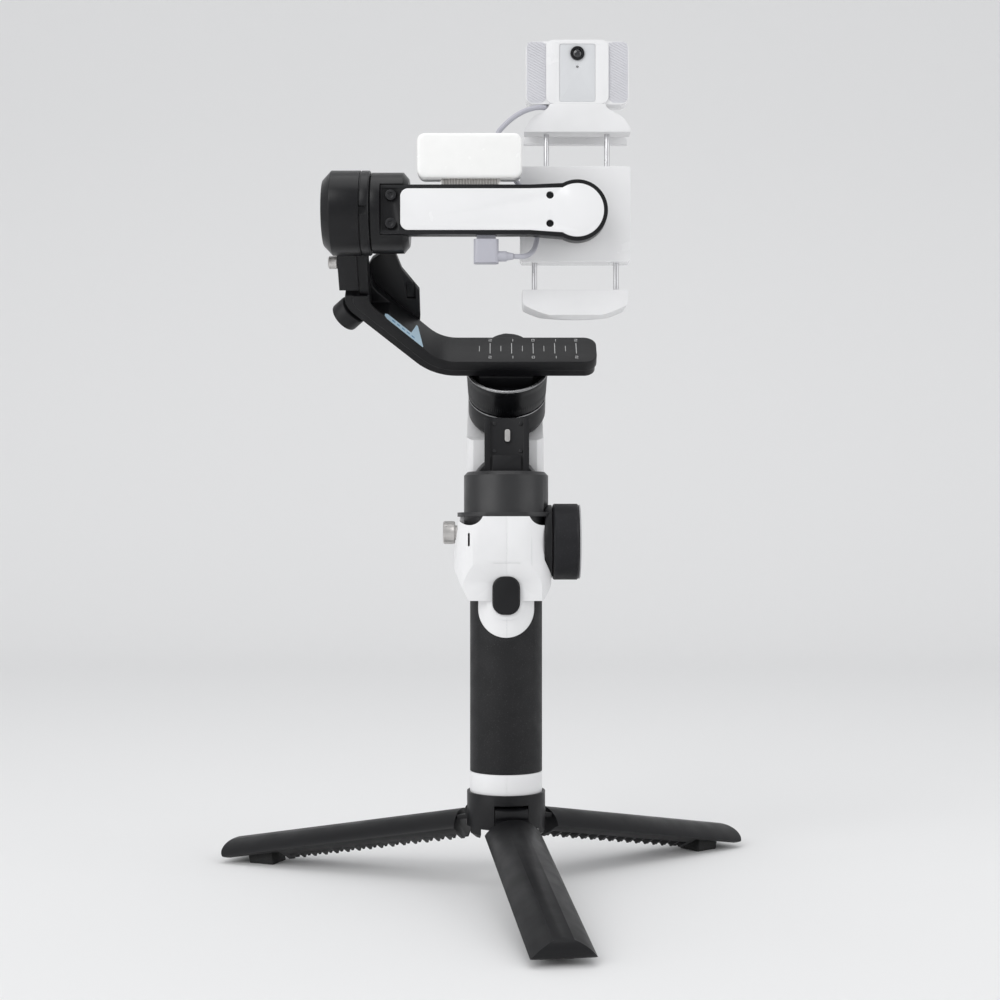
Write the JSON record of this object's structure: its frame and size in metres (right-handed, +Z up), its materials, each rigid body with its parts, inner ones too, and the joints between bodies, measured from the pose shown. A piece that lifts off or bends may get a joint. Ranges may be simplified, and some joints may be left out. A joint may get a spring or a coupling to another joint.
{
  "type": "gimbal stabilizer",
  "caption": "Hand-held three-axis phone gimbal standing on a folding mini tripod, with a slide arm, a spring clamp, a fill light and a tracking module.",
  "frame": {"origin": "on the floor under the handle's axis, where the open tripod stands", "axes": "+X to the right as the phone clamp's front is faced, +Y away from the front, +Z up along the handle"},
  "size_m": [0.2597, 0.2444, 0.3758],
  "materials": {
    "tripod_black": "fine satin",
    "white_plastic": "satin",
    "white_gloss": "gloss",
    "grip_rubber": "fine stippled",
    "foot_rubber": "matt",
    "black_plastic": "satin",
    "black_satin": "smooth satin",
    "black_metal": "black anodised, satin",
    "black_steel": "black oxide",
    "steel": "turned",
    "spring_steel": "drawn wire",
    "silver": "knurled, anodised silver",
    "grey_plastic": "satin",
    "red_plastic": "gloss",
    "cell_wrap": "shrink wrap",
    "board": "solder mask",
    "copper": "enamelled wire",
    "magnet": "nickel plated",
    "diffuser": "opal satin",
    "grey_lead": "satin moulded",
    "lens_glass": "black glass"
  },
  "bodies": {
    "handle": {"tripod_hub": "tripod_black", "tripod_screw": "steel", "leg_pins": "black_steel", "tripod_socket": "steel", "handle_shell_left": "white_plastic", "handle_shell_right": "white_plastic", "grip_sleeve": "grip_rubber", "battery_cell": "cell_wrap", "main_board": "board", "trigger_spring": "spring_steel", "wheel_base_ring": "black_plastic", "neck_collar": "black_satin", "neck_post": "black_satin", "neck_screws": "steel", "neck_shell": "white_plastic", "control_panel": "black_plastic", "pan_stator": "black_metal", "pan_winding": "copper", "pan_bearings": "steel"},
    "front_leg": {"leg_front": "tripod_black", "foot_front": "foot_rubber"},
    "right_leg": {"leg_right": "tripod_black", "foot_right": "foot_rubber"},
    "left_leg": {"leg_left": "tripod_black", "foot_left": "foot_rubber"},
    "trigger": {"trigger": "black_plastic"},
    "focus_wheel": {"focus_wheel_core": "grey_plastic", "focus_wheel_grip": "grip_rubber"},
    "side_knob": {"side_knob": "silver"},
    "joystick": {"joystick": "grip_rubber"},
    "record_button": {"record_button": "red_plastic"},
    "mode_button": {"mode_button": "grey_plastic"},
    "pan_turn": {"pan_rotor": "black_metal", "pan_magnets": "magnet", "bar_clamp": "black_plastic"},
    "bar_lock": {"bar_lock_knob": "black_plastic"},
    "slide_bar": {"pan_arm": "black_metal", "arm_bracket": "black_plastic"},
    "arm_knob": {"arm_knob": "black_plastic"},
    "lift_arm": {"vertical_arm": "black_metal", "tilt_stator": "black_metal", "tilt_winding": "copper"},
    "tilt_latch": {"tilt_lock_latch": "silver"},
    "tilt_turn": {"tilt_rotor": "black_metal", "roll_arm_frame": "black_metal", "roll_arm_cover": "white_gloss", "arm_screws": "black_steel", "roll_stator": "black_metal", "light_mount_bar": "silver", "fill_light_body": "white_plastic", "light_diffuser": "diffuser", "usb_plug": "grey_lead", "usb_cable": "grey_lead"},
    "roll_turn": {"roll_rotor": "black_metal", "clamp_body": "white_gloss", "clamp_springs": "spring_steel"},
    "upper_jaw": {"jaw_top": "white_plastic", "tracker_body": "white_gloss", "tracker_lens": "lens_glass"},
    "lower_jaw": {"jaw_bottom": "white_plastic"}
  },
  "joints": [
    {"name": "front_leg_fold", "type": "hinge", "parent": "handle", "child": "front_leg", "pos_m": [0.00205, -0.01385, 0.0333], "axis": [0.9893, 0.1461, 0], "range_deg": [0, 77]},
    {"name": "right_leg_fold", "type": "hinge", "parent": "handle", "child": "right_leg", "pos_m": [0.01097, 0.0087, 0.0333], "axis": [-0.6211, 0.7837, 0], "range_deg": [0, 77]},
    {"name": "left_leg_fold", "type": "hinge", "parent": "handle", "child": "left_leg", "pos_m": [-0.01302, 0.00515, 0.0333], "axis": [-0.3681, -0.9298, 0], "range_deg": [0, 77]},
    {"name": "trigger_press", "type": "slide", "parent": "handle", "child": "trigger", "axis": [0, 1, 0], "range_m": [0, 0.0015], "stiffness_N_per_m": 600, "springref_m": -0.001, "deforming": ["trigger_spring"]},
    {"name": "focus_wheel_spin", "type": "hinge", "parent": "handle", "child": "focus_wheel", "pos_m": [0.0213, 0, 0.157], "axis": [1, 0, 0], "continuous": true},
    {"name": "side_knob_turn", "type": "hinge", "parent": "handle", "child": "side_knob", "pos_m": [-0.0235, 0, 0.1612], "axis": [1, 0, 0], "range_deg": [-135, 135]},
    {"name": "joystick_tilt", "type": "hinge", "parent": "handle", "child": "joystick", "pos_m": [-0.001, 0.0186, 0.148], "axis": [1, 0, 0], "range_deg": [-8, 8], "stiffness_Nm_per_rad": 0.05},
    {"name": "record_press", "type": "slide", "parent": "handle", "child": "record_button", "axis": [0, -1, 0], "range_m": [0, 0.0006], "stiffness_N_per_m": 600, "springref_m": -0.001},
    {"name": "mode_press", "type": "slide", "parent": "handle", "child": "mode_button", "axis": [0, -1, 0], "range_m": [0, 0.0006], "stiffness_N_per_m": 600, "springref_m": -0.001},
    {"name": "pan_spin", "type": "hinge", "parent": "handle", "child": "pan_turn", "pos_m": [0.0005, 0.007, 0.242], "axis": [0, -0.6691, 0.7431], "continuous": true},
    {"name": "bar_lock_turn", "type": "hinge", "parent": "pan_turn", "child": "bar_lock", "pos_m": [0, 0.01202, 0.23643], "axis": [0, 0.7431, 0.6691], "range_deg": [0, 180]},
    {"name": "bar_slide", "type": "slide", "parent": "pan_turn", "child": "slide_bar", "axis": [1, 0, 0], "range_m": [-0.015, 0.0105]},
    {"name": "arm_knob_turn", "type": "hinge", "parent": "slide_bar", "child": "arm_knob", "pos_m": [-0.06755, -0.01261, 0.26377], "axis": [-0.7071, 0.4731, -0.5255], "range_deg": [-180, 180]},
    {"name": "arm_lift", "type": "slide", "parent": "slide_bar", "child": "lift_arm", "axis": [0, -0.6691, 0.7431], "range_m": [-0.0015, 0.006]},
    {"name": "tilt_latch_pull", "type": "slide", "parent": "lift_arm", "child": "tilt_latch", "axis": [-1, 0, 0], "range_m": [0, 0.002]},
    {"name": "tilt_spin", "type": "hinge", "parent": "lift_arm", "child": "tilt_turn", "pos_m": [0, -0.04452, 0.29922], "axis": [1, 0, 0], "range_deg": [-90, 90]},
    {"name": "roll_spin", "type": "hinge", "parent": "tilt_turn", "child": "roll_turn", "pos_m": [0.03, -0.051, 0.298], "axis": [0, 1, 0], "range_deg": [-40, 90], "deforming": ["usb_cable"]},
    {"name": "upper_jaw_slide", "type": "slide", "parent": "roll_turn", "child": "upper_jaw", "axis": [0, 0, 1], "range_m": [-0.008, 0.005], "deforming": ["usb_cable", "clamp_springs"]},
    {"name": "lower_jaw_slide", "type": "slide", "parent": "roll_turn", "child": "lower_jaw", "axis": [0, 0, 1], "range_m": [-0.005, 0.008]}
  ],
  "couplings": [
    {"joint": "lower_jaw_slide", "follows": "upper_jaw_slide", "ratio": -1}
  ]
}
